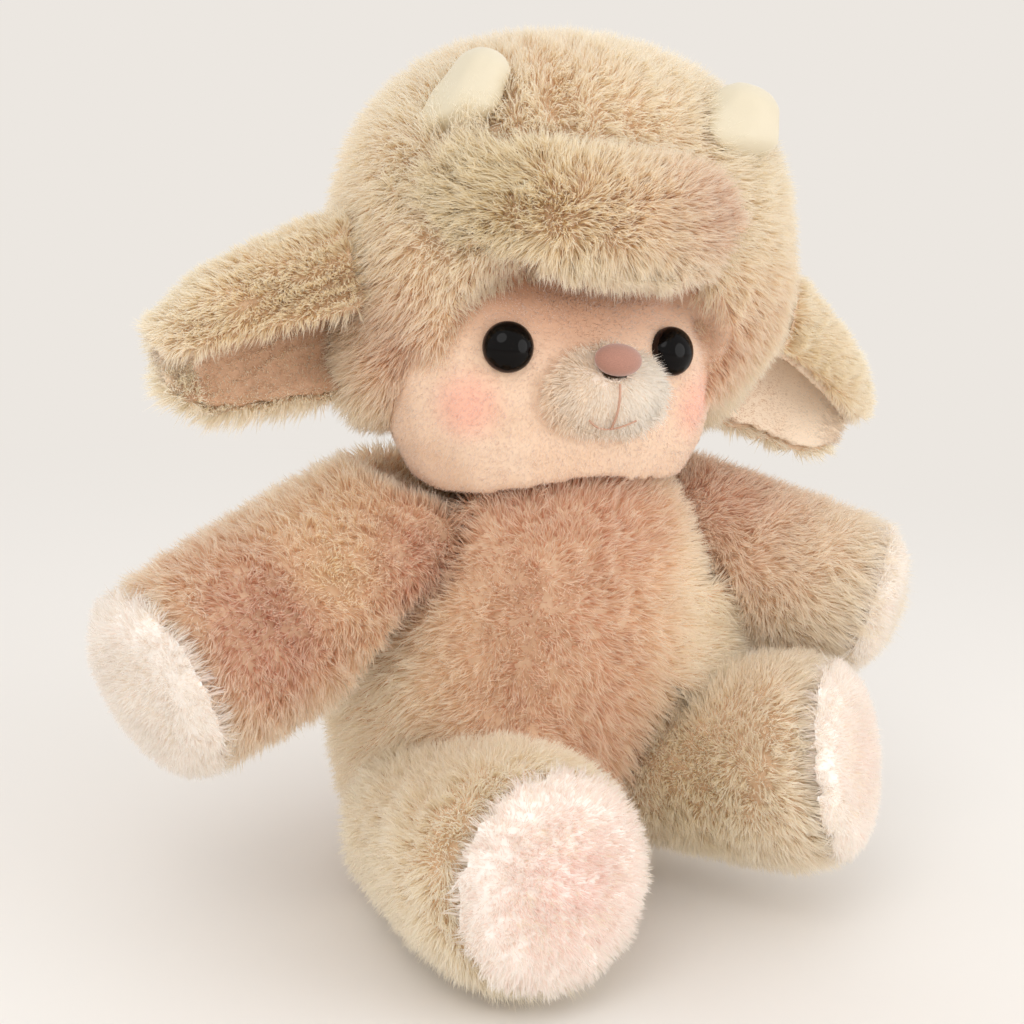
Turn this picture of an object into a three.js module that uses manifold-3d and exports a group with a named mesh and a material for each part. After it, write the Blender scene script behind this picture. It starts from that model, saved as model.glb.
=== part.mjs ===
// A sitting plush calf: a long-pile body, hood, brow roll and limbs, a short-pile face and muzzle,
// lop ears, two small horns, safety eyes, a flocked nose and a stitched mouth.
// Millimetres, +Z up. The toy faces -Y, and its right-hand side is at -X. It sits on Z = 0,
// and the origin is on the floor below the middle of its body.
import * as THREE from "three";
import { mergeVertices } from "three/addons/utils/BufferGeometryUtils.js";
import Module from "manifold-3d";

const wasm = await Module();
wasm.setup();

// Driving dimensions
const fabric = 3; // long-pile cover fabric with its dense undercoat
const shortPile = 2.2; // fabric of the face, the pads and the ear linings
const gap = 0.35; // clearance between pieces that touch
const turning = 1.8; // clearance round a faceted form that turns in its seat
const sweeping = 2.4; // clearance where a turning piece passes another
const neckGap = 0.75; // clearance between the head and the shoulders on which it turns
const floorCut = 0.5; // depth of the flat where a form stands on the floor

const body = {
  middle: 2, // across from the origin
  halfWidth: 74,
  halfDepth: 58,
  height: 164, // from the floor to the top of the neck
  belly: 8, // how far the belly hangs forward
  bellyHeight: 72,
  neckHole: 26, // radius of the opening for the neck's filling
};

const arm = {
  ball: 31, // radius of the rounded root, which turns in the armhole
  waist: 31,
  wrist: 30,
  rim: 28, // radius of the seam round the pad
  padRise: 12,
  across: 49, // from the toy's middle to each shoulder's centre
  back: -6,
  height: 122,
};
const leg = {
  ball: 29.5,
  waist: 33,
  wrist: 38,
  rim: 34,
  padRise: 9,
  across: 41,
  back: -40,
  height: 30,
};
// How each limb is stuffed and posed: its girth, its length to the pad's seam, how far it points
// forward of straight out to its side, how far up from level, and how far its root is raised or
// moved out
const limbs = {
  right_arm: { kind: arm, side: -1, girth: 1.14, length: 101, forward: 21, up: -21.5, lift: 0, out: 0 },
  left_arm: { kind: arm, side: 1, girth: 1, length: 79, forward: 33, up: -15, lift: 0, out: 0 },
  right_leg: { kind: leg, side: -1, girth: 1, length: 76, forward: 97, up: 8, lift: 0, out: 7 },
  left_leg: { kind: leg, side: 1, girth: 1, length: 62, forward: 50, up: 12, lift: 14, out: 0 },
};
// Degrees that each limb turns about its root: an arm down and up, a leg to the toy's right and left
const turns = {
  right_arm: [-15, 15],
  left_arm: [-3, 15],
  right_leg: [-12, 4],
  left_leg: [-12, 2],
};

const head = {
  hood: { centre: [6, -9, 225], half: [83, 54, 66], power: 2.2, lower: 2.8 },
  face: { centre: [-3.5, -25, 174], half: [57, 32, 45], power: 2.5, lower: 2.3 },
  brow: { centre: [-1, -42, 230], half: [68, 34, 28], power: 2.2, lower: 2.2, bend: 150 },
  flap: { centre: [61, -8, 184], half: [17, 27, 27], power: 2, lower: 2 },
  muzzle: { centre: [0, -53, 176.5], half: [25, 16, 17], power: 2, lower: 2 },
  opening: 1.04, // the hood's opening round the face, as a share of the face's outline
  openingRise: 4, // how far above the face's middle the opening's middle is
  openingDepth: 8, // how far behind the face's middle the opening ends
  turn: 12, // degrees each way about the neck
};

// The eyes' middles lie above the face's middle, and the nose's above the muzzle's
const eye = { radius: 8.1, rise: 6, shank: 2, shankLength: 10, shankRoom: 1, across: 29, above: 16 };
const nose = { halfWidth: 8.3, halfHeight: 5.2, rise: 4.5, shank: 1.7, shankLength: 21, above: 11 };
// A washer sits some way behind the fabric, in a pocket of the stuffing with room on each side
const washer = { radius: 5, thickness: 1.6, clearance: 0.3, depth: 2.6, room: 1 };
const mouth = { thread: 0.7, start: 2, drop: 11.5, smile: 8, rise: 3, aside: -3, low: 3.5 };

// A horn's base is set into the slope of the hood, and runs on below it as far as it is sunk
const horn = { base: 14.5, length: 27, tip: 10.5, set: 16, sunk: 10, wall: 1.6 };
const horns = {
  right_horn: { across: -44, back: -36, lean: [0.3, -0.05, 1] },
  left_horn: { across: 50, back: -40, lean: [0.35, -0.05, 1] },
};

const ear = {
  length: 73,
  rooted: 12, // how far inside its seam the leaf begins, before the head's side cuts it
  tall: 28.5, // half the height of the rolled leaf at its root
  deep: 12.7, // half its depth
  back: 5, // thickness of the furry back
  lining: 2.2,
  narrowing: 0.44, // how much of its height and depth it loses along its length
  tipping: 0.2, // and how much more at its very tip
  lip: -85, // degrees from upright to the front edge, which hangs over the lining
  under: 150, // degrees from upright to the lower edge
  turn: 15, // degrees each way about the seam at its root
};
const ears = {
  right_ear: { side: -1, back: -16, height: 196, droop: 18, forward: 4 },
  left_ear: { side: 1, back: -16, height: 187, droop: 28, forward: -12 },
};

const around = { body: 20, socket: 16, limb: 12, hood: 18, face: 16, small: 10, horn: 8 };
const rows = { body: 11, filling: 9, hood: 11, face: 10, small: 8, least: 6 };

// Solids and meshes
const vec = (p) => new THREE.Vector3(...p);
const moved = (p) => new THREE.Matrix4().makeTranslation(...p);

function solid(geometry, matrix = new THREE.Matrix4()) {
  const bare = (geometry.index ? geometry.toNonIndexed() : geometry.clone()).applyMatrix4(matrix);
  bare.deleteAttribute("normal");
  bare.deleteAttribute("uv");
  const merged = mergeVertices(bare, 1e-3);
  const corners = merged.index.array;
  const faces = [];
  for (let i = 0; i < corners.length; i += 3) {
    const [a, b, c] = [corners[i], corners[i + 1], corners[i + 2]];
    if (a !== b && b !== c && c !== a) faces.push([a, b, c]);
  }
  const make = (list) =>
    new wasm.Manifold(
      new wasm.Mesh({
        numProp: 3,
        vertProperties: merged.attributes.position.array,
        triVerts: new Uint32Array(list.flat()),
      }),
    );
  const made = make(faces);
  return made.volume() > 0 ? made : make(faces.map(([a, b, c]) => [a, c, b]));
}

const placed = (made, matrix) => made.transform([...matrix.elements]);
const aboveFloor = (made) => made.trimByPlane([0, 0, 1], 0);

// The cutter that a form sweeps out when it is turned about a line, in even steps
function swept(made, centre, axis, turns) {
  let all = made;
  for (const degrees of turns) {
    const turn = new THREE.Matrix4().makeRotationAxis(vec(axis), THREE.MathUtils.degToRad(degrees));
    all = all.add(placed(made, moved(centre).multiply(turn).multiply(moved(centre.map((v) => -v)))));
  }
  return all;
}

function mesh(name, made, material, group) {
  const data = made.getMesh();
  const places = new Float32Array(data.numVert * 3);
  for (let i = 0; i < data.numVert; i++)
    places.set(data.vertProperties.subarray(i * data.numProp, i * data.numProp + 3), i * 3);
  const geometry = new THREE.BufferGeometry();
  geometry.setAttribute("position", new THREE.BufferAttribute(places, 3));
  geometry.setIndex(new THREE.BufferAttribute(data.triVerts, 1));
  group.updateWorldMatrix(true, false);
  geometry.applyMatrix4(group.matrixWorld.clone().invert());
  const piece = new THREE.Mesh(geometry, material);
  piece.name = name;
  group.add(piece);
}

const smooth = (points, count) =>
  new THREE.SplineCurve(points.map(([r, s]) => new THREE.Vector2(r, s)))
    .getPoints(count)
    .map((p) => [p.x, p.y]);

// A turned form about +Z from a profile of [radius, height] points
function turned(points, segments) {
  const profile = points.map(([r, s]) => new THREE.Vector2(Math.max(r, 0), s));
  return new THREE.LatheGeometry(profile, segments).rotateX(Math.PI / 2);
}

// A profile moved inwards by a wall's thickness
function inset(points, wall) {
  return points.map(([r, s], i) => {
    const a = points[Math.max(i - 1, 0)];
    const b = points[Math.min(i + 1, points.length - 1)];
    const [dr, ds] = [b[0] - a[0], b[1] - a[1]];
    const size = Math.hypot(dr, ds);
    return [r > 0 ? Math.max(r - (wall * ds) / size, 0) : 0, s + (wall * dr) / size];
  });
}

const rounded = ({ power, lower }, p) => {
  const n = p.z < 0 ? lower : power;
  return (Math.abs(p.x) ** n + Math.abs(p.y) ** n + Math.abs(p.z) ** n) ** (-1 / n);
};

// A puffed form about its own centre, rounder or squarer by its power, with its poles on Z
function puffed(form, segments, rows, less = 0, side = 1) {
  const geometry = new THREE.SphereGeometry(1, segments, rows).rotateX(Math.PI / 2);
  const places = geometry.attributes.position;
  const p = new THREE.Vector3();
  for (let i = 0; i < places.count; i++) {
    p.fromBufferAttribute(places, i).normalize();
    p.multiplyScalar(rounded(form, p));
    p.set(...form.half.map((h, k) => p.getComponent(k) * (h - less)));
    if (form.bend) p.y += (p.x * p.x) / (2 * form.bend);
    places.setXYZ(i, p.x + side * form.centre[0], p.y + form.centre[1], p.z + form.centre[2]);
  }
  return solid(geometry);
}

// Where a puffed form's front surface is, at a place across and up
function frontOf({ centre, half, power, lower }, x, z) {
  const n = z < centre[2] ? lower : power;
  const across = Math.abs((x - centre[0]) / half[0]) ** n + Math.abs((z - centre[2]) / half[2]) ** n;
  return centre[1] - half[1] * Math.max(1 - across, 0) ** (1 / n);
}

// How far a puffed form reaches to one side, or up, at a place on it
function reachOf({ centre, half, power, lower }, k, p) {
  const n = p[2] < centre[2] ? lower : power;
  const others = [0, 1, 2].filter((i) => i !== k);
  const spent = others.reduce((sum, i) => sum + Math.abs((p[i] - centre[i]) / half[i]) ** n, 0);
  return half[k] * Math.max(1 - spent, 0) ** (1 / n);
}

const ball = (radius, centre, segments) =>
  solid(new THREE.SphereGeometry(radius, segments, segments / 2), moved(centre));

const material = (color, roughness) => new THREE.MeshStandardMaterial({ color, roughness, metalness: 0 });
const fur = material(0xd9bfa0, 0.95);
const shortFur = material(0xebcfb4, 0.9);
const whiteFur = material(0xf5e9e2, 0.9);
const hornCloth = material(0xf1ead8, 0.8);
const liningCloth = material(0xdcb79c, 0.85);
const blackGlass = material(0x120d0b, 0.12);
const flock = material(0xbe8573, 0.85);
const thread = material(0x9a6f55, 0.7);
const stuffing = material(0xf4f4f0, 0.95);
const plastic = material(0xdcdcd8, 0.5);

// Body
const bodyOutline = [
  [0, -floorCut],
  [0.42, -floorCut / 2],
  [0.78, 0.06 * body.height],
  [0.965, 0.25 * body.height],
  [1, 0.47 * body.height],
  [0.93, 0.68 * body.height],
  [0.79, 0.84 * body.height],
  [0.58, 0.94 * body.height],
  [0.3, 0.99 * body.height],
  [0, body.height],
].map(([share, z]) => [share * body.halfWidth, z]);

function bodyForm(less, rows, segments) {
  const geometry = turned(inset(smooth(bodyOutline, rows), less), segments);
  const places = geometry.attributes.position;
  for (let i = 0; i < places.count; i++) {
    const z = places.getZ(i);
    const low = 1 - THREE.MathUtils.smoothstep(z, 0.4 * body.height, 0.8 * body.height);
    const depth = 1 - low * (1 - body.halfDepth / body.halfWidth);
    const belly = low * body.belly * Math.exp(-(((z - body.bellyHeight) / 45) ** 2));
    places.setXYZ(i, places.getX(i) + body.middle, places.getY(i) * depth - belly, z);
  }
  return solid(geometry);
}

const shoulder = ({ kind, side, out, lift }) => [
  body.middle + side * (kind.across + out),
  kind.back,
  kind.height + lift,
];
const neckDrill = new THREE.CylinderGeometry(body.neckHole, body.neckHole, body.height / 2, around.limb);
const neckHole = solid(neckDrill.rotateX(Math.PI / 2), moved([body.middle, 0, body.height]));
const socketsOf = (more) =>
  Object.values(limbs)
    .map((limb) => ball(limb.kind.ball * limb.girth + turning + more, shoulder(limb), around.socket))
    .reduce((all, one) => all.add(one));

function makeBody(group) {
  const inside = bodyForm(fabric, rows.filling, around.limb);
  const cover = bodyForm(0, rows.body, around.body).subtract(inside).subtract(neckHole);
  mesh("body_cover", aboveFloor(cover.subtract(socketsOf(0))), fur, group);
  const filling = bodyForm(fabric + gap, rows.filling, around.limb);
  mesh("body_filling", aboveFloor(filling.subtract(socketsOf(gap))), stuffing, group);
}

// Limbs: a tube of fabric with a rounded root that sits in the body, closed by a domed pad
function limbOutline({ kind, girth, length }) {
  const outline = [];
  for (let k = 0; k <= 4; k++) {
    const a = THREE.MathUtils.degToRad(-90 + 22.5 * k);
    outline.push([kind.ball * Math.cos(a), kind.ball * Math.sin(a)]);
  }
  const flank = smooth(
    [
      [kind.ball, 0],
      [kind.waist, (0.35 * length) / girth],
      [kind.wrist, (0.72 * length) / girth],
      [kind.rim, length / girth],
    ],
    4,
  );
  return [...outline, ...flank.slice(1)].map(([r, s]) => [r * girth, s * girth]);
}

const domeOutline = (radius, base, rise) =>
  [0, 0.45, 1].map((t) => {
    const a = (Math.PI / 2) * t;
    return [radius * Math.cos(a), base + rise * Math.sin(a)];
  });

// The frame of a limb, at its root's centre with +Z along it
function limbMatrix(limb) {
  const f = THREE.MathUtils.degToRad(limb.forward);
  const u = THREE.MathUtils.degToRad(limb.up);
  const way = vec([limb.side * Math.cos(f) * Math.cos(u), -Math.sin(f) * Math.cos(u), Math.sin(u)]);
  const turn = new THREE.Quaternion().setFromUnitVectors(vec([0, 0, 1]), way);
  return new THREE.Matrix4().compose(vec(shoulder(limb)), turn, vec([1, 1, 1]));
}

// Arms swing up and down about a front-to-back line, and legs swing about an upright one
const limbAxis = ({ kind, side }) => (kind === arm ? [0, -side, 0] : [0, 0, 1]);

// What an arm keeps clear of above it: the head at each end of its turn
const headSweep = () => swept(brim(sweeping), neckPivot, [0, 0, 1], [-head.turn, head.turn]);

function makeLimb(name, limb, group) {
  const { kind, length, girth } = limb;
  const rim = kind.rim * girth;
  const outer = limbOutline(limb);
  const open = 2; // the root is open as far as this point of the outline
  const thinned = (points) => points.filter((p, i) => i % 2 === 0);
  const under = thinned(inset(outer, fabric).slice(open, -1));
  const skin = outer.slice(open);
  const tube = [...skin, [rim - fabric, length], ...under.reverse(), skin[0]];
  const cover = solid(turned(tube, around.limb));

  const seat = length + gap;
  const dome = domeOutline(rim, seat, kind.padRise);
  const inner = domeOutline(rim - shortPile, seat, kind.padRise - shortPile);
  const pad = solid(turned([...dome, ...inner.reverse(), dome[0]], around.limb));

  const within = fabric + 2 * gap;
  const core = thinned(inset(outer, within).slice(0, -1));
  const top = domeOutline(rim - within, length - gap, kind.padRise - shortPile - gap);
  const filling = solid(turned([...core, ...thinned(top.slice(1, -1)), top.at(-1)], around.limb));

  group.applyMatrix4(limbMatrix(limb));
  group.updateWorldMatrix(true, false);
  const middle = shoulder(limb);
  const back = turns[name].map((degrees) => -degrees);
  const root = ball(kind.ball * girth + gap, middle, 2 * around.socket);
  const axis = limbAxis(limb);
  const side = swept(bodyForm(-sweeping, rows.body, around.body), middle, axis, back).subtract(root);
  const clear = kind === arm ? side.add(swept(headSweep(), middle, axis, back)) : side;
  const finish = (made) => aboveFloor(placed(made, group.matrixWorld).subtract(clear));
  mesh(name + "_cover", finish(cover), fur, group);
  mesh(name + "_filling", finish(filling), stuffing, group);
  mesh(name.replace("_arm", "_paw").replace("_leg", "_foot") + "_pad", finish(pad), whiteFur, group);
}

// Head
const neckPivot = [body.middle, 0, body.height];
const faceGrown = (more) => puffed(head.face, around.face, rows.face, -more);
const hoodGrown = (more) => puffed(head.hood, around.hood, rows.hood, -more);
const flapsOf = (less) =>
  [-1, 1]
    .map((side) => puffed(head.flap, around.small, rows.small, less, side))
    .reduce((all, one) => all.add(one));
const brim = (more) => hoodGrown(more).add(faceGrown(more)).add(flapsOf(-more));

// What is cut away in front of the face, so that the hood frames it
function faceWindow(less) {
  const { centre, half } = head.face;
  const reach = 3 * half[1];
  const open = [half[0] * head.opening - less, reach, half[2] * head.opening - less];
  const middle = [centre[0], centre[1] - reach + head.openingDepth, centre[2] + head.openingRise];
  return puffed({ centre: middle, half: open, power: 2.6, lower: 2.6 }, around.face, rows.face);
}

// The frame of a piece set on the head's front, with its +Z along the surface's outward normal
function setOn(form, x, z) {
  const step = 0.5;
  const y = frontOf(form, x, z);
  const slopeX = (frontOf(form, x + step, z) - frontOf(form, x - step, z)) / (2 * step);
  const slopeZ = (frontOf(form, x, z + step) - frontOf(form, x, z - step)) / (2 * step);
  const out = vec([slopeX, -1, slopeZ]).normalize();
  const turn = new THREE.Quaternion().setFromUnitVectors(vec([0, 0, 1]), out);
  return new THREE.Matrix4().compose(vec([x, y, z]), turn, vec([1, 1, 1]));
}

// A button with a shank behind it, and the washer that holds it from inside
const buttonOutline = ({ radius, rise, shank, shankLength }) => [
  [0, -shankLength],
  [shank, -shankLength],
  [shank, gap],
  ...domeOutline(radius, gap, rise),
];
const ringOutline = (inner, outer, low, high) => [
  [inner, low],
  [outer, low],
  [outer, high],
  [inner, high],
  [inner, low],
];

// Each button's place, its form and the depth of its washer's front
function buttons() {
  const { face, muzzle } = head;
  const middle = face.centre[0];
  const eyeHeight = face.centre[2] + eye.above;
  const behindEye = -(shortPile + washer.depth);
  const snout = muzzle.centre[0];
  const noseHeight = muzzle.centre[2] + nose.above;
  const onMuzzle = setOn(muzzle, snout, noseHeight);
  const lean = Math.acos(-onMuzzle.elements[9]);
  const muzzleDeep = frontOf(face, snout, noseHeight) - frontOf(muzzle, snout, noseHeight);
  const fabricDeep = (muzzleDeep + shortPile + washer.depth) / Math.cos(lean);
  const behindNose = -(fabricDeep + washer.radius * Math.tan(lean));
  const round = { ...eye, wide: 1, washerFront: behindEye };
  const oval = { ...nose, radius: nose.halfHeight, wide: nose.halfWidth / nose.halfHeight };
  return [
    { name: "right_eye", place: setOn(face, middle - eye.across, eyeHeight), ...round },
    { name: "left_eye", place: setOn(face, middle + eye.across, eyeHeight), ...round },
    { name: "nose", place: onMuzzle, ...oval, washerFront: behindNose },
  ];
}

function mouthThread() {
  const { muzzle } = head;
  const middle = muzzle.centre[0];
  const lift = mouth.thread + gap;
  const on = (x, z) => vec([x, frontOf(muzzle, x, z) - lift, z]);
  const start = muzzle.centre[2] + nose.above - nose.halfHeight - mouth.start;
  const end = start - mouth.drop;
  const section = new THREE.Shape();
  section.absarc(0, 0, mouth.thread, 0, 2 * Math.PI);
  const strand = (points, steps) =>
    solid(
      new THREE.ExtrudeGeometry(section, {
        curveSegments: 3,
        steps,
        extrudePath: new THREE.CatmullRomCurve3(points),
      }),
    );
  const down = [0, 0.5, 1].map((t) => on(middle, start - t * (mouth.drop + mouth.low)));
  const smile = [-1, -0.5, 0, 0.5, 1].map((t) =>
    on(middle + mouth.aside * (1 - Math.abs(t)) + mouth.smile * t, end - mouth.low + mouth.rise * t * t),
  );
  return strand(down, 4).add(strand(smile, 8));
}

function makeHead(group) {
  const { hood, face, brow, muzzle } = head;
  const neckForm = new THREE.CylinderGeometry(body.neckHole, body.neckHole, 2 * body.neckHole, around.limb);
  const neckMiddle = [body.middle, 0, body.height + body.neckHole - fabric];
  const neck = solid(neckForm.rotateX(Math.PI / 2), moved(neckMiddle));
  const seat = bodyForm(-neckGap, rows.body, 26);
  const inHood = puffed(hood, around.limb, rows.small, fabric);
  const framed = puffed(hood, around.hood, rows.hood).add(flapsOf(0)).subtract(faceWindow(0));
  const hoodCover = framed.subtract(inHood).subtract(faceGrown(gap));
  mesh("hood_cover", hoodCover.subtract(seat).subtract(neck), fur, group);

  const core = puffed(hood, around.limb, rows.small, fabric + gap).subtract(faceWindow(-fabric));
  const inFace = puffed(face, around.limb, rows.small, shortPile);
  const set = buttons();
  const holes = set
    .map(({ place, shank, wide }) => shankHole(place, shank * wide))
    .reduce((all, one) => all.add(one));
  const faceCover = puffed(face, around.face, rows.face).subtract(inFace).subtract(core);
  mesh("face_cover", faceCover.subtract(seat).subtract(neck).subtract(holes), shortFur, group);

  const inBrow = puffed(brow, around.limb, rows.small, fabric);
  const browCover = puffed(brow, around.face, rows.face).subtract(inBrow);
  mesh("brow_cover", browCover.subtract(brim(gap)), fur, group);
  const browCore = puffed(brow, around.limb, rows.small, fabric + gap);
  mesh("brow_filling", browCore.subtract(brim(2 * gap)), stuffing, group);
  const inMuzzle = puffed(muzzle, around.small, rows.least, shortPile);
  const muzzleCover = puffed(muzzle, around.limb, rows.small).subtract(inMuzzle);
  const clearOf = faceGrown(gap).add(holes).add(eyeRooms(set));
  mesh("muzzle_cover", muzzleCover.subtract(clearOf), whiteFur, group);
  const muzzleCore = puffed(muzzle, around.small, rows.least, shortPile + gap);
  mesh("muzzle_filling", muzzleCore.subtract(faceGrown(2 * gap)).subtract(holes), stuffing, group);

  const faceCore = puffed(face, around.limb, rows.small, shortPile + gap);
  let filling = core.add(faceCore).subtract(seat).subtract(holes);
  for (const { name, place, radius, rise, shank, shankLength, wide, washerFront } of set) {
    const stretch = new THREE.Matrix4().makeScale(wide, 1, 1);
    const form = { radius, rise, shank, shankLength };
    const piece = solid(turned(buttonOutline(form), around.small), place.clone().multiply(stretch));
    mesh(name, piece, name === "nose" ? flock : blackGlass, group);
    const inner = shank * wide + washer.clearance;
    const low = washerFront - washer.thickness;
    const ring = turned(ringOutline(inner, washer.radius, low, washerFront), around.small);
    mesh(name + "_washer", solid(ring, place), plastic, group);
    const pocket = new THREE.CylinderGeometry(1, 1, 1, around.small).rotateX(Math.PI / 2);
    const wideEnough = washer.radius + washer.room;
    const deep = Math.max(shankLength + washerFront, washer.thickness) + 2 * washer.room;
    const at = new THREE.Matrix4().makeTranslation(0, 0, washerFront + washer.room - deep / 2);
    at.scale(vec([wideEnough, wideEnough, deep]));
    filling = filling.subtract(solid(pocket, place.clone().multiply(at)));
  }
  mesh("head_filling", filling, stuffing, group);
  mesh("mouth_thread", mouthThread(), thread, group);
}

// The space in front of the face that the eyes keep, beside the muzzle
const eyeRooms = (set) =>
  set
    .filter(({ wide }) => wide === 1)
    .map(({ place, radius }) => shankHole(place, radius))
    .reduce((all, one) => all.add(one));

function shankHole(place, shank) {
  const radius = shank + eye.shankRoom;
  const hole = new THREE.CylinderGeometry(radius, radius, 2 * head.face.half[1], around.small);
  hole.rotateX(Math.PI / 2);
  return solid(hole, place);
}

// Horns: smooth cloth cones with round tips and their own stuffing
const hornOutline = (less) => {
  const { base, length, tip, sunk } = horn;
  const outline = [
    [base - less, -sunk],
    [base - less, 0],
    [(base + tip) / 2 + 1 - less, 0.5 * (length - tip)],
  ];
  for (const t of [0, 30, 60, 90]) {
    const a = THREE.MathUtils.degToRad(t);
    outline.push([(tip - less) * Math.cos(a), length - tip + (tip - less) * Math.sin(a)]);
  }
  return outline;
};

function makeHorns(group) {
  const seat = hoodGrown(gap).add(puffed(head.brow, around.face, rows.face, -gap));
  for (const [name, { across, back, lean }] of Object.entries(horns)) {
    const level = head.hood.centre[2];
    const at = [across, back, level + reachOf(head.hood, 2, [across, back, level]) - horn.set];
    const turn = new THREE.Quaternion().setFromUnitVectors(vec([0, 0, 1]), vec(lean).normalize());
    const place = new THREE.Matrix4().compose(vec(at), turn, vec([1, 1, 1]));
    const outer = hornOutline(0);
    const inner = hornOutline(horn.wall);
    const cover = solid(turned([...outer, ...inner.reverse(), outer[0]], around.horn), place);
    const core = [[0, -horn.sunk], ...hornOutline(horn.wall + gap)];
    const filling = solid(turned(core, around.horn), place);
    mesh(name + "_cover", cover.subtract(seat), hornCloth, group);
    mesh(name + "_filling", filling.subtract(seat), stuffing, group);
  }
}

// Ears: a long leaf rolled across its width, furry outside and lined with short pile
function leaf(low, high, steps) {
  const geometry = new THREE.BoxGeometry(1, 1, 1, steps[0], steps[1], 1);
  const places = geometry.attributes.position;
  const [from, to] = [ear.lip, ear.under].map(THREE.MathUtils.degToRad);
  for (let i = 0; i < places.count; i++) {
    const along = places.getX(i) + 0.5;
    const a = THREE.MathUtils.lerp(from, to, places.getY(i) + 0.5);
    const h = places.getZ(i) > 0 ? high : low;
    const taper = 1 - ear.narrowing * along - ear.tipping * along ** 6;
    places.setXYZ(
      i,
      ear.length * along,
      (ear.deep * taper + h) * Math.sin(a),
      (ear.tall * taper + h) * Math.cos(a),
    );
  }
  return solid(geometry);
}

// The frame of an ear: its root, with +X along the ear and +Y to the back on either side
function earRoot({ side, back, height }) {
  const { hood, flap } = head;
  const onHood = side * hood.centre[0] + reachOf(hood, 0, [0, back, height]);
  const onFlap = flap.centre[0] + reachOf(flap, 0, [0, back, height]);
  return [side * (Math.max(onHood, onFlap) + gap), back, height];
}

function earMatrix(one) {
  const { side, droop, forward } = one;
  const d = THREE.MathUtils.degToRad(droop);
  const f = THREE.MathUtils.degToRad(forward);
  const along = vec([side * Math.cos(d) * Math.cos(f), -Math.cos(d) * Math.sin(f), -Math.sin(d)]);
  const back = vec([0, 1, 0]).addScaledVector(along, -along.y).normalize();
  const up = along.clone().cross(back).multiplyScalar(side);
  const start = vec(earRoot(one)).addScaledVector(along, -ear.rooted);
  return new THREE.Matrix4().makeBasis(along, back, up).setPosition(start);
}

function makeEar(name, one, group) {
  const place = earMatrix(one);
  const seat = hoodGrown(gap).add(flapsOf(-gap));
  const clear = swept(seat, earRoot(one), [0, 0, 1], [-ear.turn, ear.turn]);
  const skin = placed(leaf(0, ear.back, [4, 8]), place);
  const lining = placed(leaf(-gap - ear.lining, -gap, [4, 8]), place);
  mesh(name + "_back", skin.subtract(clear), fur, group);
  mesh(name + "_lining", lining.subtract(clear), liningCloth, group);
}

const toy = new THREE.Group();
const torso = new THREE.Group();
toy.add(torso);
makeBody(torso);
for (const [name, limb] of Object.entries(limbs)) {
  const group = new THREE.Group();
  toy.add(group);
  makeLimb(name, limb, group);
}
const headGroup = new THREE.Group();
toy.add(headGroup);
makeHead(headGroup);
makeHorns(headGroup);
for (const [name, one] of Object.entries(ears)) {
  const group = new THREE.Group();
  toy.add(group);
  makeEar(name, one, group);
}

export default toy;
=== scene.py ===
"""Dresses the plush calf: padded forms swollen from its sewn pieces, long pile, short pile and white
fluff as single hairs, cloth horns, safety eyes, a flocked nose and a stitched mouth.
Metres, +Z up. The toy faces -Y, and its right-hand side is at -X."""

import math

import bpy
import numpy as np
from bpy.props import FloatProperty, FloatVectorProperty, IntProperty, PointerProperty
from mathutils import Matrix, Quaternion, Vector
from mathutils.bvhtree import BVHTree


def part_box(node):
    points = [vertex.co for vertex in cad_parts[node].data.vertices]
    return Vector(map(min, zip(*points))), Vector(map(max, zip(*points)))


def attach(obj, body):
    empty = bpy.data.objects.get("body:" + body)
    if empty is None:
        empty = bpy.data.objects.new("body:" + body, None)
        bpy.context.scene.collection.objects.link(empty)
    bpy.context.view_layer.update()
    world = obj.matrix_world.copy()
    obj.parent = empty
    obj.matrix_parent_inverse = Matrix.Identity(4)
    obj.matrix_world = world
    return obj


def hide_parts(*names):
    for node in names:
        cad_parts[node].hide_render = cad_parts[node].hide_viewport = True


bl_info = {
    "name": "Plush calf",
    "version": (1, 0, 0),
    "blender": (4, 5, 0),
    "location": "3D View > Sidebar > Plush calf",
    "description": "Dresses a sewn toy calf in its pile, its cloth and its safety eyes",
    "category": "Object",
}

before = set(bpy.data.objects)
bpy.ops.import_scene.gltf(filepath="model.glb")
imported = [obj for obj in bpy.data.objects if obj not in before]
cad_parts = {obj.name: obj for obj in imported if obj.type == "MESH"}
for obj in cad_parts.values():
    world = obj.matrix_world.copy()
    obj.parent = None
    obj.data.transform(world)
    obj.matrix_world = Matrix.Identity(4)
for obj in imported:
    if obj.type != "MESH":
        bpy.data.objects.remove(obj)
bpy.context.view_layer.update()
MM = 0.001

# The limbs, the ears and the pad that ends each limb
LIMBS = ("right_arm", "left_arm", "right_leg", "left_leg")
EARS = ("right_ear", "left_ear")
PADS = {
    "right_arm": "right_paw_pad",
    "left_arm": "left_paw_pad",
    "right_leg": "right_foot_pad",
    "left_leg": "left_foot_pad",
}

# Places in millimetres: where the hair parts, the middle of the face and the ears' roots
BELLY_WHORL = (-14, -62, 84)
CROWN = (6, -5, 300)
BROW_WHORL = (-14, -75, 228)
FACE_WHORL = (0, -60, 190)
MUZZLE_WHORL = (0, -70, 187)
MUZZLE_MIDDLE = (0, 0, 181)
FACE_MIDDLE = (-3.5, 0, 178)
EAR_ROOTS = ((-1, (-76, -18, 192)), (1, (82, -18, 186)))

# How far out an ear's root ends and its tip starts, and from where its slope is measured, in millimetres
EAR_ROOT, EAR_TIP, EAR_SLOPE = 95, 118, 88

# Up to this height, in millimetres, a horn's foot is drawn back in full
HORN_FOOT = 239

# A mix node's sockets for its lower colour, its upper colour and its result
MIX_LOWER, MIX_UPPER, MIX_RESULT = 6, 7, 2
WHITE, BLACK = (1, 1, 1), (0, 0, 0)

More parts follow.
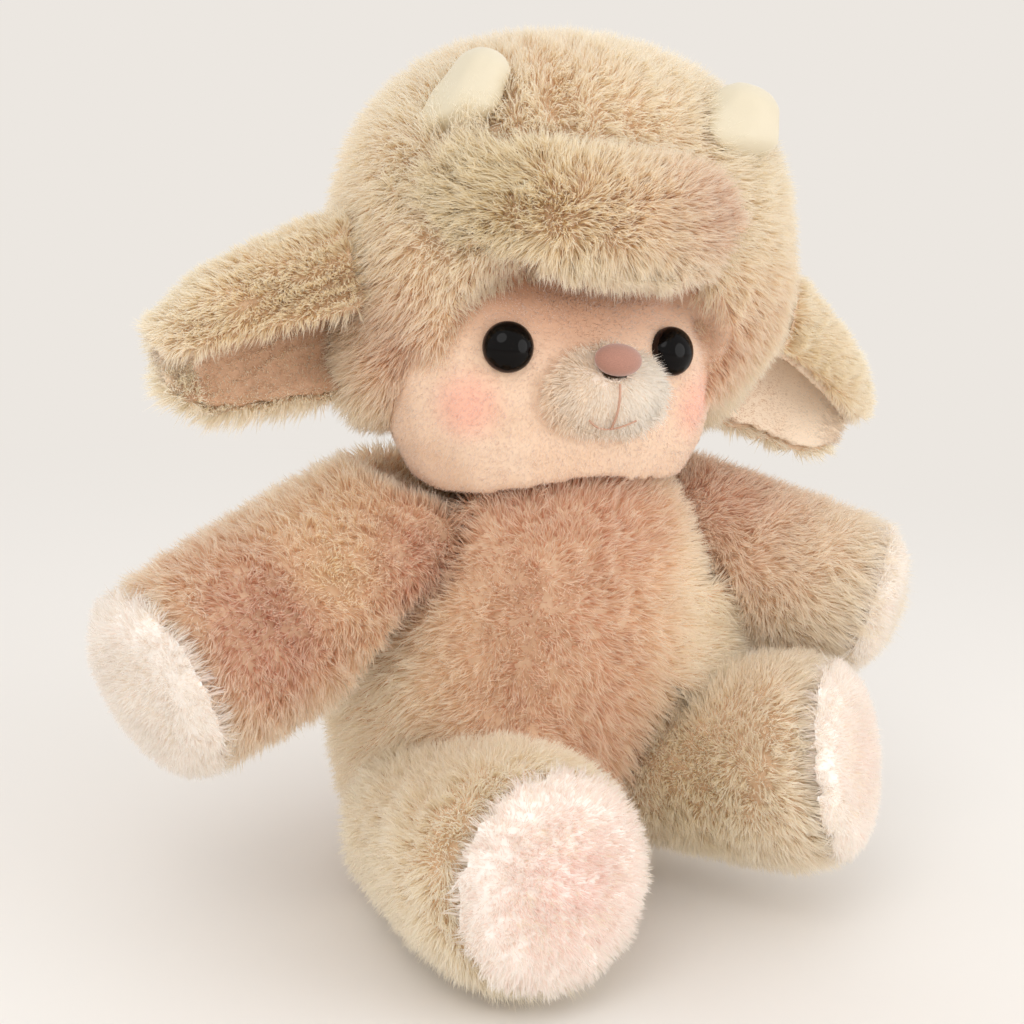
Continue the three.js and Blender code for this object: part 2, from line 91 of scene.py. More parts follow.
# Tints of the long pile: place and reach in millimetres, then the changes of hue and of paleness.
# A hue below zero is more rose, one above zero more olive.
TINTS = {
    "body_form": (
        # Darker under the chin: painted shade that the head casts on the chest, with a rosier hue
        ((-10, -50, 136), (60, 40, 16), -0.15, -0.8),
        ((-14, -56, 128), (20, 20, 14), 0.1, 0),
        ((45, -50, 110), (30, 50, 50), 0, 0.3),
        (BELLY_WHORL, (14, 14, 14), 0, 0.15),
    ),
    "right_arm_form": (
        ((-106, -57, 104), (18, 30, 20), -0.6, -0.3),
        ((-88, -60, 118), (14, 30, 12), 0.35, 0),
        # The next two darken the arm's top and root under the head: painted shade where arm, body and head
        # meet
        ((-60, -25, 135), (30, 30, 14), 0.1, -0.4),
        ((-54, -36, 120), (14, 30, 20), -0.4, -0.4),
    ),
    "left_arm_form": (
        # Darker on the arm's top under the head: painted shade
        ((62, -25, 140), (34, 30, 14), -0.2, -0.6),
        ((100, -60, 100), (28, 40, 40), 0.1, 0.6),
    ),
    "left_leg_form": (((44, -62, 44), (17, 22, 18), 0.6, -0.7),),
    "hood_form": (
        # Darker where the hood's right flap meets the face: painted shade in the hollow beside the face
        ((-58, -30, 190), (16, 20, 24), -0.3, -0.65),
        ((-20, -30, 275), (22, 20, 14), 0, -0.35),
        # The next two darken the left flap beside the face: painted shade in the hollow between flap and
        # face
        ((66, -44, 204), (20, 22, 18), -0.1, -0.5),
        ((48, -46, 184), (12, 20, 22), -0.25, -0.6),
    ),
    "brow_form": (
        ((-38, -60, 236), (20, 40, 20), 0.4, -0.15),
        ((34, -60, 236), (22, 40, 20), -0.35, -0.1),
        ((0, -60, 206), (80, 60, 12), -0.1, 0.5),
    ),
}


def tone(red, green, blue):
    """A colour given as on a screen, from 0 to 255, as the light that it reflects."""
    shares = (red / 255, green / 255, blue / 255)
    return tuple(((s + 0.055) / 1.055) ** 2.4 if s > 0.04 else s / 12.92 for s in shares)


def size(name, about, default):
    return FloatProperty(name=name, description=about, default=default, unit="LENGTH")


def share(name, about, default):
    return FloatProperty(name=name, description=about, default=default, subtype="FACTOR")


def angle(name, about, degrees):
    return FloatProperty(name=name, description=about, default=math.radians(degrees), subtype="ANGLE")


def colour(name, about, *screen):
    return FloatVectorProperty(
        name=name, description=about, default=tone(*screen), size=3, subtype="COLOR", min=0, max=1
    )


class PLUSH_PG_padding(bpy.types.PropertyGroup):
    """How the padded forms are swollen"""

    weave: size("Remesh", "Size of the remeshed form's faces", 4.5 * MM)
    backing: size("Backing", "How far the backing cloth lies below the pile's tips at rest", 3.6 * MM)
    swell: size("Swell", "How far the filling may push the cloth", 1.6 * MM)
    push: FloatProperty(name="Pressure", description="Pressure of the filling", default=4)
    fine: size("Fine remesh", "Size of the faces of the face, muzzle, pads and ears", 2.2 * MM)


class PLUSH_PG_pile(bpy.types.PropertyGroup):
    """Lengths and closeness of the hairs"""

    long: size("Long hair", "Length of a hair of the long pile", 8.6 * MM)
    ear: size("Ear hair", "Length of a hair on the back of an ear", 7 * MM)
    fluff: size("Fluff", "Length of a hair of the white fluff", 4.6 * MM)
    short: size("Short hair", "Length of a hair of the face", 1.3 * MM)
    width: size("Hair width", "Width of a hair at its root", 0.4 * MM)
    most: IntProperty(name="Most hairs", description="Most hairs in one piece", default=56000)
    lean: share("Lean", "How far a hair leans over, as a share of its length", 0.42)
    tangle: share("Tangle", "How far hairs stray from each other", 0.3)
    tuft: size("Tuft", "Width of the tufts that hairs gather in", 7 * MM)


class PLUSH_PG_tones(bpy.types.PropertyGroup):
    """Colours of the toy"""

    backing: colour("Backing", "Cloth that the long pile grows from", 226, 196, 166)
    cream: colour("Cream fluff", "Fluff at the muzzle's edge", 253, 236, 214)
    root: colour("Root", "Long pile at its root", 240, 216, 184)
    middle: colour("Middle", "Long pile halfway up", 251, 238, 214)
    tip: colour("Tip", "Long pile at its tip", 255, 250, 237)
    rose: colour("Rose", "Rose tint of the long pile", 218, 156, 132)
    olive: colour("Olive", "Olive tint of the long pile", 234, 224, 180)
    face: colour("Face", "Short pile of the face", 238, 206, 176)
    blush: colour("Blush", "Blushed cheeks", 242, 178, 154)
    # Painted shade: the brown that stands for the shadow of the brow roll and the hood's flaps on the face
    shaded: colour("Brow side", "Short pile that the brow keeps brown", 208, 162, 132)
    fluff: colour("Fluff", "White fluff of the pads and the muzzle", 252, 249, 244)
    fluff_root: colour("Fluff root", "White fluff at its root", 254, 247, 240)
    sole: colour("Sole", "Pink in the middle of the soles", 250, 230, 224)
    lining: colour("Lining", "Lining of the ears", 200, 156, 122)
    lining_pale: colour("Pale lining", "Lining of the ears near the tip", 248, 228, 204)
    horn: colour("Horn", "Cloth of the horns", 216, 204, 178)
    eye: colour("Eye", "Black of the eyes", 10, 7, 6)
    rim: colour("Eye rim", "Brown rim of the eyes", 40, 25, 20)
    nose: colour("Nose", "Flock of the nose", 178, 128, 110)
    thread: colour("Thread", "Thread of the mouth", 196, 154, 132)
    washer: colour("Washer", "Plastic of the lock washers", 222, 220, 214)


class PLUSH_PG_stage(bpy.types.PropertyGroup):
    """Camera, lamps and floor"""

    target: FloatVectorProperty(
        name="Target",
        description="Where the camera looks",
        default=(-0.0044, 0, 0.1278),
        subtype="TRANSLATION",
    )
    distance: size("Distance", "From the camera to its target", 0.52)
    azimuth: angle("Azimuth", "Camera's way round the toy", -24)
    elevation: angle("Elevation", "Camera's height above level", 9.8)
    roll: angle("Roll", "Camera's roll", 3)
    lens: FloatProperty(name="Lens", description="Focal length in millimetres", default=50.98)
    key: FloatProperty(name="Key lamp", description="Power of the key lamp", default=3.8, unit="POWER")
    fill: FloatProperty(name="Fill lamp", description="Power of the fill lamp", default=4.4, unit="POWER")
    sky: FloatProperty(name="Sky", description="Strength of the light from all round", default=0.95)
    floor: colour("Floor", "Floor and backdrop", 236, 231, 225)


# Meshes
def only(*objects):
    """Leaves just these objects selected, the last of them active."""
    bpy.ops.object.select_all(action="DESELECT")
    for obj in objects:
        obj.select_set(True)
    bpy.context.view_layer.objects.active = objects[-1]


def added(name, mesh):
    obj = bpy.data.objects.new(name, mesh)
    bpy.context.scene.collection.objects.link(obj)
    return obj


def applied(obj, kind, **settings):
    """Adds a modifier, sets it and applies it."""
    only(obj)
    modifier = obj.modifiers.new(kind.title(), kind)
    for name, value in settings.items():
        setattr(modifier, name, value)
    bpy.ops.object.modifier_apply(modifier=modifier.name)
    return obj


def open_edit(obj):
    """Opens an object in edit mode, all of it selected."""
    only(obj)
    bpy.ops.object.mode_set(mode="EDIT")
    bpy.ops.mesh.select_all(action="SELECT")


def close_edit():
    bpy.ops.object.mode_set(mode="OBJECT")


def solid_copy(name, *nodes):
    """A mesh of its own from copies of the frame's solids, joined and merged."""
    copies = [added(name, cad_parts[node].data.copy()) for node in nodes]
    only(*copies)
    if len(copies) > 1:
        bpy.ops.object.join()
    obj = bpy.context.object
    obj.name = obj.data.name = name
    obj.data.materials.clear()
    open_edit(obj)
    bpy.ops.mesh.remove_doubles(threshold=0.01 * MM)
    close_edit()
    return obj


def points_of(obj):
    places = np.empty(len(obj.data.vertices) * 3, np.float32)
    obj.data.vertices.foreach_get("co", places)
    return places.reshape(-1, 3).astype(float)


def normals_of(obj):
    ways = np.empty(len(obj.data.vertices) * 3, np.float32)
    obj.data.vertex_normals.foreach_get("vector", ways)
    return ways.reshape(-1, 3).astype(float)


def set_points(obj, points):
    obj.data.vertices.foreach_set("co", points.astype(np.float32).ravel())
    obj.data.update()


def keep_outside(obj):
    """Deletes what a remesh leaves inside or beside: only the shell with the most faces stays."""
    only(obj)
    bpy.ops.mesh.separate(type="LOOSE")
    parts = sorted(bpy.context.selected_objects, key=lambda part: len(part.data.polygons))
    kept = parts.pop()
    if kept is not obj:
        obj.data, kept.data = kept.data, obj.data
        parts.append(kept)
        parts.remove(obj)
    for part in parts:
        bpy.data.objects.remove(part)


def remeshed(obj, faces, rounds, below=0.0):
    """An even, smooth skin over a form, moved inwards by how far it lies below."""
    applied(obj, "REMESH", mode="VOXEL", voxel_size=faces)
    keep_outside(obj)
    applied(obj, "SMOOTH", factor=0.5, iterations=rounds)
    if below:
        applied(obj, "DISPLACE", strength=-below, mid_level=0)
    return obj


def swollen(obj):
    """Lets the filling press the cloth out, by no more than the swell."""
    padding = bpy.context.scene.plush_padding
    before = points_of(obj)
    only(obj)
    cloth = obj.modifiers.new("Cloth", "CLOTH")
    cloth.settings.use_pressure = True
    cloth.settings.uniform_pressure_force = padding.push
    cloth.settings.effector_weights.gravity = 0
    cloth.settings.quality = 5
    last = 20
    cloth.point_cache.frame_start, cloth.point_cache.frame_end = 1, last
    for number in range(1, last + 1):
        bpy.context.scene.frame_set(number)
    bpy.ops.object.modifier_apply(modifier=cloth.name)
    bpy.context.scene.frame_set(1)
    moved = points_of(obj) - before
    far = np.linalg.norm(moved, axis=1, keepdims=True)
    set_points(obj, before + moved * np.minimum(1, padding.swell / np.maximum(far, 1e-9)))
    return obj


def finished(obj, body, slot, *materials):
    """Smooths a piece's shading, paints it and sets it on its body."""
    for cloth in materials:
        obj.data.materials.append(cloth)
    obj.data.polygons.foreach_set("use_smooth", [True] * len(obj.data.polygons))
    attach(obj, body)
    return obj


def padded(obj, body, slot, material, fill, *nodes):
    """Finishes a padded piece that is seen in place of its nodes."""
    finished(obj, body, slot, material)
    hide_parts(*nodes)
    return obj


def stuffed(name, body, faces, rounds, fill=0.85, filling=None):
    """A stuffed piece: its cover and filling joined into one skin, swollen, subdivided and smoothed."""
    nodes = (f"{name}_cover", filling or f"{name}_filling")
    below = bpy.context.scene.plush_padding.backing
    obj = swollen(remeshed(solid_copy(f"{name}_form", *nodes), faces, rounds, below))
    applied(obj, "SUBSURF", levels=1, render_levels=1)
    return padded(obj, body, "long_pile", backing(), fill, *nodes)


def tree_of(obj):
    return BVHTree.FromPolygons(
        [v.co for v in obj.data.vertices], [tuple(p.vertices) for p in obj.data.polygons]
    )


def hull_of(obj):
    """A form without its hollows, such as the seats of the limbs in the body."""
    hull = added("hull", obj.data.copy())
    open_edit(hull)
    bpy.ops.mesh.convex_hull()
    close_edit()
    tree = tree_of(hull)
    bpy.data.objects.remove(hull)
    return tree


def depth_in(points, tree):
    """How deep each point is inside a closed form: above zero inside it, below zero outside."""
    ray = Vector((0.31, 0.52, 0.79)).normalized()
    deep = np.empty(len(points))
    for i, point in enumerate(points):
        far = tree.find_nearest(Vector(point))[3]
        way = tree.ray_cast(Vector(point), ray)[1]
        deep[i] = far if way is not None and way.dot(ray) > 0 else -far
    return deep


def clamped(values):
    return np.clip(values, 0, 1)


def unit(ways):
    return ways / np.maximum(np.linalg.norm(ways, axis=-1, keepdims=True), 1e-9)


def inwards_of(points, other):
    """The way from each point to the nearest place on another form."""
    skin = tree_of(other)
    return unit(np.array([skin.find_nearest(Vector(p))[0] for p in points]) - points)


def form(name):
    return bpy.data.objects[name]


def tree_named(name):
    return tree_of(form(name))


def hull_named(name):
    return hull_of(form(name))


def middle_of(name):
    return points_of(form(name)).mean(0)


# Pile
def waver(points, width, seed):
    """A smooth push at each point, alike among neighbours up to about that width apart."""
    rng = np.random.default_rng(seed)
    count = 14
    waves = rng.normal(size=(count, 3)) * 2.6 / width
    phases = rng.uniform(0, 2 * math.pi, count)
    pushes = rng.normal(size=(count, 3))
    return np.sin(points @ waves.T + phases) @ pushes / math.sqrt(count / 2)


class Coat:
    """What grows on a form, told at each of its corners: how close, how long, which way and what tone.
    Its x, y and z are in millimetres."""

    def __init__(self, obj, length, closeness):
        self.obj = obj
        self.points = points_of(obj)
        self.normals = normals_of(obj)
        self.x, self.y, self.z = (self.points / MM).T
        count = len(self.points)
        self.closeness = np.full(count, closeness)
        self.length = np.full(count, length)
        self.comb = np.zeros((count, 3))
        self.hue = np.full(count, 0.5)
        self.pale = np.zeros(count)

    def near(self, place, reach):
        """From 1 at a place, in millimetres, down to 0 well past its reach."""
        far = np.linalg.norm((self.points - np.array(place) * MM) / (np.array(reach) * MM), axis=1)
        return np.exp(-far * far)

    def tint(self, place, reach, hue=0.0, pale=0.0):
        amount = self.near(place, reach)
        self.hue += hue * amount
        self.pale += pale * amount

    def tint_places(self):
        """Lays on the tints that are listed for this form."""
        for place, reach, hue, pale in TINTS.get(self.obj.name, ()):
            self.tint(place, reach, hue, pale)

    def bare(self, where):
        self.closeness[where] = 0

    def bare_inside(self, depth, *trees):
        for tree in trees:
            self.bare(depth_in(self.points, tree) > depth)

    def combed_from(self, place, lean, reach):
        """Lays the hair away from a whorl, more so further out."""
        away = self.points - np.array(place) * MM
        away -= self.normals * np.sum(away * self.normals, axis=1, keepdims=True)
        far = np.linalg.norm(away, axis=1, keepdims=True)
        self.comb += lean * unit(away) * np.minimum(1, far / (reach * MM))

    def lay(self, way, amount):
        """Leans the hair a way, by an amount at each corner."""
        self.comb += np.array(way) * amount[:, None]

    def combed_to(self, way, lean):
        way = np.array(way, float) - self.normals * (self.normals @ np.array(way, float))[:, None]
        self.comb += lean * way


def grown(name, coat, body, slot, material, seed, most=None, sunk=0.6 * MM, width=None, even=False):
    """Grows hairs on a coat's form: flat, bent halfway and narrowing to a point.
    Their texture coordinates hold each hair's hue, and how far along it lies from root to tip."""
    pile = bpy.context.scene.plush_pile
    rng = np.random.default_rng(seed)
    mesh = coat.obj.data
    mesh.calc_loop_triangles()
    corners = np.empty(len(mesh.loop_triangles) * 3, np.int32)
    mesh.loop_triangles.foreach_get("vertices", corners)
    corners = corners.reshape(-1, 3)
    a, b, c = (coat.points[corners[:, k]] for k in range(3))
    area = np.linalg.norm(np.cross(b - a, c - a), axis=1) / 2
    wanted = area * coat.closeness[corners].mean(1) / (MM * MM)
    count = int(min(wanted.sum(), most or pile.most))
    chosen = rng.choice(len(corners), count, p=wanted / wanted.sum())
    root = np.sqrt(rng.random(count))
    split = rng.random(count)
    weights = np.stack([1 - root, root * (1 - split), root * split], axis=1)

    def spread(values):
        picked = values[corners[chosen]]
        return np.einsum("nk,nk...->n...", weights, picked)

    start, normal = spread(coat.points), unit(spread(coat.normals))
    stray = pile.tangle
    push = spread(coat.comb) + 0.55 * stray * waver(start, pile.tuft, seed + 1)
    fine = 0.35 * stray * waver(start, pile.tuft * 0.35, seed + 2)
    push += fine + 0.4 * stray * rng.normal(size=(count, 3))
    push -= normal * np.minimum(0, np.sum(push * normal, axis=1, keepdims=True))
    length = spread(coat.length) * rng.uniform(0.72, 1.08, count)
    length = length * np.where(rng.random(count) < 0.03, 1.15, 1)
    way = unit(normal + push)
    curl = unit(way + 0.5 * push + 0.16 * rng.normal(size=(count, 3)) + np.array([0, 0, -0.1]))
    low = start - normal * sunk
    middle = low + way * (length * 0.55)[:, None]
    tip = middle + curl * (length * 0.45)[:, None]
    for level in (low, middle, tip):
        level[:, 2] = np.maximum(level[:, 2], 0.2 * MM)
    half = unit(np.cross(way, normal + 0.5 * rng.normal(size=(count, 3))))
    face = np.cross(half, way)
    half *= np.where(np.sum(face * normal, axis=1, keepdims=True) < 0, -1, 1)
    shading = unit(normal + 0.45 * np.cross(half, way) + 0.12 * rng.normal(size=(count, 3)))
    half *= (width or pile.width) / 2
    places = np.stack([low - half, low + half, middle - half * 0.8, middle + half * 0.8, tip], axis=1)

    hue = np.clip(spread(coat.hue) + 0.1 * rng.normal(size=count), 0.02, 0.98)
    pale = np.clip(spread(coat.pale) + 0.1 * rng.normal(size=count), 0, 0.9)
    thin = 0.004
    across = np.stack([hue - thin, hue + thin, hue - thin, hue + thin, hue], axis=1)
    halfway = pale + (1 - pale) * 0.5
    along = np.stack([pale, pale, halfway, halfway, np.full(count, 0.99)], axis=1)

    # A hair is a quad with a triangle on top: five corners, and seven loops round its two faces
    mesh = bpy.data.meshes.new(name)
    first = (np.arange(count) * 5)[:, None]
    loops = (first + np.array([0, 1, 3, 2, 2, 3, 4])).ravel()
    mesh.vertices.add(count * 5)
    mesh.vertices.foreach_set("co", places.astype(np.float32).ravel())
    mesh.loops.add(count * 7)
    mesh.loops.foreach_set("vertex_index", loops.astype(np.int32))
    mesh.polygons.add(count * 2)
    starts = (np.arange(count) * 7)[:, None] + np.array([0, 4])
    mesh.polygons.foreach_set("loop_start", starts.ravel().astype(np.int32))
    mesh.update(calc_edges=True)
    layer = mesh.uv_layers.new(name="OFBake")
    marks = np.stack([across.ravel()[loops], along.ravel()[loops]], axis=1)
    layer.data.foreach_set("uv", marks.astype(np.float32).ravel())
    obj = finished(added(name, mesh), body, slot, material)
    if even:
        mesh.normals_split_custom_set_from_vertices(np.repeat(shading, 5, axis=0))
    return obj


def grown_halves(name, coat, body, seed, behind, most):
    """Grows a coat of long pile as a front piece and a back piece."""
    closeness = coat.closeness.copy()
    coat.bare(behind)
    grown(f"{name}_front", coat, body, "long_pile", long_pile(), seed)
    coat.closeness = np.where(behind, closeness, 0)
    grown(f"{name}_back", coat, body, "long_pile", long_pile(), seed + 1, most=most)


def lean_over(coat, name, reach, lean):
    """Leans the hair that is close to another form over the seam between the two."""
    gap = -depth_in(coat.points, tree_named(name)) / MM
    close = clamped(1 - gap / reach)
    coat.lay(inwards_of(coat.points, form(name)), lean * close)
    coat.length *= 1 + 0.3 * close


# Materials
def shader_of(made):
    return made.node_tree.nodes["Principled BSDF"]


def material(name, rough, base=None, sheen=0.0):
    made = bpy.data.materials.new(name)
    made.use_nodes = True
    shader = shader_of(made)
    shader.inputs["Roughness"].default_value = rough
    shader.inputs["Sheen Weight"].default_value = sheen
    shader.inputs["Sheen Roughness"].default_value = 0.5
    if base is not None:
        shader.inputs["Base Color"].default_value = (*base, 1)
    return made


def new_node(made, kind, **inputs):
    """A new node of a shader kind, its inputs set."""
    new = made.node_tree.nodes.new("ShaderNode" + kind)
    for name, value in inputs.items():
        new.inputs[name].default_value = value
    return new


def link(made, start, end):
    made.node_tree.links.new(start, end)


def paint(made, shade):
    link(made, shade, shader_of(made).inputs["Base Color"])


def noise(made, scale, detail):
    """A noise over the piece's own coordinates."""
    grain = new_node(made, "TexNoise", Scale=scale, Detail=detail)
    link(made, new_node(made, "TexCoord").outputs["Object"], grain.inputs["Vector"])
    return grain.outputs["Fac"]


def raise_grain(made, height, strength, distance):
    """Raises a shader's surface by a grain."""
    bump = new_node(made, "Bump", Strength=strength, Distance=distance)
    link(made, height, bump.inputs["Height"])
    link(made, bump.outputs["Normal"], shader_of(made).inputs["Normal"])


def ramp(made, fac, stops):
    """A colour ramp, fed and set to its stops of place and colour."""
    new = new_node(made, "ValToRGB")
    elements = new.color_ramp.elements
    while len(elements) < len(stops):
        elements.new(0.5)
    for element, (place, shade) in zip(elements, stops):
        element.position = place
        element.color = (*shade, 1)
    link(made, fac, new.inputs["Fac"])
    return new.outputs["Color"]


def mix_over(made, amount, shade):
    """A node that mixes its upper colour over a shade by an amount."""
    mix = new_node(made, "Mix")
    mix.data_type = "RGBA"
    link(made, amount, mix.inputs["Factor"])
    link(made, shade, mix.inputs[MIX_LOWER])
    return mix


def mix_surface(made, mix, first, second, end="Material Output"):
    """Mixes two shaders and makes the mix what is seen."""
    link(made, first.outputs[0], mix.inputs[1])
    link(made, second.outputs[0], mix.inputs[2])
    link(made, mix.outputs["Shader"], made.node_tree.nodes[end].inputs["Surface"])


def hair_material(name, stops_low, stops_middle, stops_high, sheen=0.25, through=0.6):
    """Colour along each hair from root to tip, mixed between three families by the hair's hue."""
    made = material(name, 0.75, sheen=sheen)
    shader_of(made).inputs["Specular IOR Level"].default_value = 0.2
    source = new_node(made, "UVMap")
    source.uv_map = "OFBake"
    parts = new_node(made, "SeparateXYZ")
    link(made, source.outputs["UV"], parts.inputs["Vector"])
    hue, along = parts.outputs["X"], parts.outputs["Y"]
    shades = [ramp(made, along, stops) for stops in (stops_low, stops_middle, stops_high)]
    for low, high, other in ((0, 0.5, 1), (0.5, 1, 2)):
        fade = new_node(made, "MapRange", **{"From Min": low, "From Max": high})
        link(made, hue, fade.inputs["Value"])
        mix = mix_over(made, fade.outputs["Result"], shades[0])
        link(made, shades[other], mix.inputs[MIX_UPPER])
        shades[0] = mix.outputs[MIX_RESULT]
    paint(made, shades[0])
    let_through(made, shades[0], through)
    return made


def let_through(made, shade, amount):
    """Lets light from behind shine through the thin hairs, in their own colour."""
    glow = new_node(made, "BsdfTranslucent")
    link(made, shade, glow.inputs["Color"])
    mix_surface(made, new_node(made, "MixShader", Fac=amount), shader_of(made), glow)


def blend(a, b, amount):
    return tuple(x + (y - x) * amount for x, y in zip(a, b))


def long_pile():
    made = bpy.data.materials.get("Long pile")
    if made:
        return made
    tones = bpy.context.scene.plush_tones
    root, middle, tip = (tuple(c) for c in (tones.root, tones.middle, tones.tip))

    def family(tint, amount):
        return [
            (0, blend(root, tint, amount)),
            (0.5, blend(middle, tint, amount * 0.7)),
            (1, blend(tip, tint, amount * 0.25)),
        ]

    families = (family(tuple(tones.rose), 0.7), family(root, 0), family(tuple(tones.olive), 0.5))
    return hair_material("Long pile", *families, sheen=0.5)


def backing():
    """The backing cloth under the long pile, a little darker than the hair."""
    tones = bpy.context.scene.plush_tones
    return bpy.data.materials.get("Pile backing") or material("Pile backing", 0.9, tuple(tones.backing))


def fluff_pile():
    made = bpy.data.materials.get("White fluff")
    if made:
        return made
    tones = bpy.context.scene.plush_tones
    low, high, sole = tuple(tones.fluff_root), tuple(tones.fluff), tuple(tones.sole)
    plain = [(0, low), (0.45, blend(low, high, 0.75)), (1, high)]
    pink = [(0, blend(low, sole, 0.8)), (0.45, sole), (1, blend(sole, high, 0.45))]
    return hair_material("White fluff", pink, plain, plain, sheen=0.15)


def fluff_backing():
    tones = bpy.context.scene.plush_tones
    shade = blend(tuple(tones.fluff_root), tuple(tones.fluff), 0.5)
    return bpy.data.materials.get("Fluff backing") or material("Fluff backing", 0.9, shade)


def muzzle_pile():
    """Cream at the muzzle's edge and white in its middle."""
    tones = bpy.context.scene.plush_tones
    cream, white = tuple(tones.cream), tuple(tones.fluff)

    def family(amount):
        return [(0, blend(cream, white, amount * 0.6)), (0.5, blend(cream, white, amount))]

    return hair_material("Muzzle pile", family(0), family(0.5), family(1), sheen=0.15)


def face_pile():
    """Cream in the middle of the hues, brown below it for painted shade and blush above it."""
    tones = bpy.context.scene.plush_tones
    cream, brown, blush = tuple(tones.face), tuple(tones.shaded), tuple(tones.blush)

    def family(shade):
        return [(0, blend(shade, WHITE, 0.2)), (1, blend(shade, WHITE, 0.5))]

    return hair_material("Face pile", family(brown), family(cream), family(blush), sheen=0.2, through=0.3)


def toned_near(made, shade, tint, place, clear, full, amount):
    """Lays a tint over a shade round a place, in millimetres: full there and clear further out."""
    far = new_node(made, "VectorMath")
    far.operation = "DISTANCE"
    link(made, new_node(made, "TexCoord").outputs["Object"], far.inputs[0])
    far.inputs[1].default_value = [c * MM for c in place]
    ends = {"From Min": clear * MM, "From Max": full * MM, "To Max": amount}
    fade = new_node(made, "MapRange", **ends)
    fade.interpolation_type = "SMOOTHSTEP"
    link(made, far.outputs["Value"], fade.inputs["Value"])
    mix = mix_over(made, fade.outputs["Result"], shade)
    mix.inputs[MIX_UPPER].default_value = (*tint, 1)
    return mix.outputs[MIX_RESULT]


def face_cloth():
    """Cream cloth with blushed cheeks, and brown painted shade below the brow and beside the left eye."""
    tones = bpy.context.scene.plush_tones
    made = material("Face cloth", 0.85, sheen=0.2)
    cream, brown, blush = tuple(tones.face), tuple(tones.shaded), tuple(tones.blush)
    stops = [(0.3, blend(cream, brown, 0.2)), (0.7, blend(cream, WHITE, 0.08))]
    shade = ramp(made, noise(made, 70, 5), stops)
    for tint, place, clear, full, amount in (
        # The first two are painted shade: brown under the brow roll, and beside the left eye by the hood's
        # flap
        (brown, (-10, -45, 262), 86, 60, 1),
        (brown, (60, -30, 192), 34, 16, 0.9),
        (blush, (-44, -50, 171), 15, 3, 0.75),
        (blush, (40, -48, 172), 15, 3, 0.75),
    ):
        shade = toned_near(made, shade, tint, place, clear, full, amount)
    paint(made, shade)
    return made


def lining_pile():
    tones = bpy.context.scene.plush_tones
    deep, pale = tuple(tones.lining), tuple(tones.lining_pale)

    def family(shade):
        return [(0, blend(shade, tuple(tones.root), 0.25)), (0.5, shade), (1, blend(shade, pale, 0.3))]

    shades = (deep, blend(deep, pale, 0.6), blend(pale, tuple(tones.fluff), 0.8))
    return hair_material("Lining pile", *(family(shade) for shade in shades), sheen=0.15)


# Steps
class Maker:
    """Shared by the operators that make pieces"""

    bl_options = {"REGISTER", "UNDO"}

    @property
    def padding(self):
        return bpy.context.scene.plush_padding

    @property
    def pile(self):
        return bpy.context.scene.plush_pile

    @property
    def tones(self):
        return bpy.context.scene.plush_tones


def round_tip(obj):
    """Rounds an ear off towards its tip."""
    points = points_of(obj) / MM
    reach = np.abs(points[:, 0])
    end = reach.max()
    turn = clamped((reach - end + 23) / 23.5)
    close = reach > end - 30
    start = points[close & (reach < end - 22)].mean(0)
    for axis in (1, 2):
        change = points[close, axis].mean() - start[axis]
        line = start[axis] + change * np.clip((reach - end + 22) / 9, 0, 2)
        scaled = line + (points[:, axis] - line) * np.sqrt(1 - 0.96 * turn * turn)
        points[:, axis] = np.where(turn > 0, scaled, points[:, axis])
    set_points(obj, points * MM)


def open_up(obj):
    """Draws an ear's upper flap up and its lower rim down, so that the lining shows."""
    points = points_of(obj) / MM
    reach = np.abs(points[:, 0])
    out = clamped((reach - 84) / 30)
    near_root, near_tip = points[reach < EAR_ROOT, 2], points[reach > EAR_TIP, 2]
    low, high = (
        pick(near_root) + (reach - EAR_SLOPE) * (pick(near_tip) - pick(near_root)) / 38
        for pick in (np.min, np.max)
    )
    height = clamped((points[:, 2] - low) / (high - low))
    lift = np.sin(math.pi * clamped((height - 0.3) / 0.7)) ** 2
    points[:, 2] += 4.5 * out * lift * (points[:, 1] < -10)
    points[:, 2] -= 2.5 * clamped(1 - height * 2.5)
    points[:, 0] -= np.sign(points[:, 0]) * 6 * clamped((90 - reach) / 14)
    set_points(obj, points * MM)


